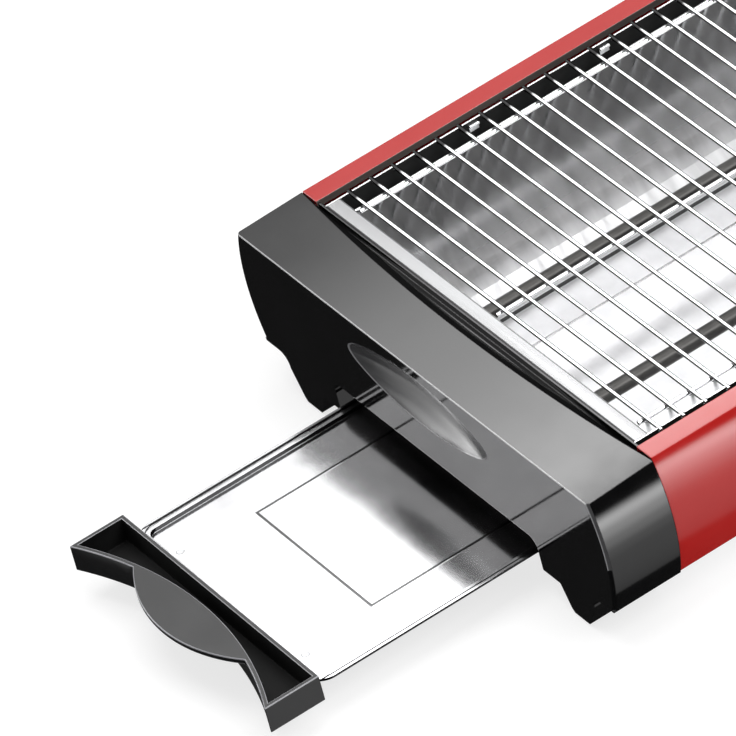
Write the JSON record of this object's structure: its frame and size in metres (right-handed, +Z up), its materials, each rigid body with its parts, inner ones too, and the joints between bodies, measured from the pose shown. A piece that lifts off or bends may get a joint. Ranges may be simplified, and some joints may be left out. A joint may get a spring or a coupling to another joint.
{
  "type": "flat toaster",
  "caption": "Low horizontal toaster with a wire grill over two tubular heaters, black end caps, painted side rails and a slide-out crumb tray with a trough handle.",
  "frame": {"origin": "on the table under the middle of the overall box, with the crumb tray drawn out as pictured", "axes": "+X along the body from the tray end to the control end, +Y across to the rear side, +Z up"},
  "size_m": [0.5404, 0.2504, 0.0766],
  "materials": {
    "black_gloss": "polished moulding",
    "red_paint": "gloss stoved paint",
    "galvanised": "zinc-coated sheet",
    "bright_steel": "bright sheet",
    "reflector_steel": "bright rolled sheet",
    "wire_chrome": "plated wire",
    "heater_sheath": "dark oxidised sheath",
    "ceramic": "unglazed",
    "pin_brass": "turned",
    "timer_case": "moulded",
    "amber_lens": "clear tinted",
    "lamp_glass": "clear",
    "black_matte": "satin moulding",
    "lead_sleeve": "braided glass sleeve",
    "foot_rubber": "soft",
    "screw_steel": "plated",
    "tray_steel": "bright rolled sheet"
  },
  "bodies": {
    "housing": {"tray_end_cap": "black_gloss", "control_end_cap": "black_gloss", "front_side_panel": "red_paint", "rear_side_panel": "red_paint", "base_plate": "galvanised", "front_tray_runner": "galvanised", "rear_tray_runner": "galvanised", "tray_end_frame": "bright_steel", "control_end_frame": "bright_steel", "front_reflector": "reflector_steel", "rear_reflector": "reflector_steel", "front_slot_rail": "bright_steel", "rear_slot_rail": "bright_steel", "grill_clips": "bright_steel", "wire_grill": "wire_chrome", "front_heater": "heater_sheath", "rear_heater": "heater_sheath", "heater_bushings": "ceramic", "heater_terminals": "pin_brass", "heater_link": "galvanised", "timer_body": "timer_case", "timer_nut": "bright_steel", "terminal_block": "ceramic", "pilot_lens": "amber_lens", "pilot_lamp": "lamp_glass", "cord_gland": "black_matte", "supply_leads": "lead_sleeve", "rubber_feet": "foot_rubber", "base_screws": "screw_steel", "panel_screws": "screw_steel", "frame_rivets": "screw_steel"},
    "tray": {"crumb_tray": "tray_steel", "tray_handle": "black_matte", "handle_rivets": "screw_steel"},
    "knob": {"timer_knob": "black_matte", "timer_shaft": "bright_steel"}
  },
  "joints": [
    {"name": "tray_slide", "type": "slide", "parent": "housing", "child": "tray", "axis": [-1, 0, 0], "range_m": [-0.1255, 0.16]},
    {"name": "timer_turn", "type": "hinge", "parent": "housing", "child": "knob", "pos_m": [0.254, 0, 0.05], "axis": [-1, 0, 0], "range_deg": [0, 300]}
  ]
}
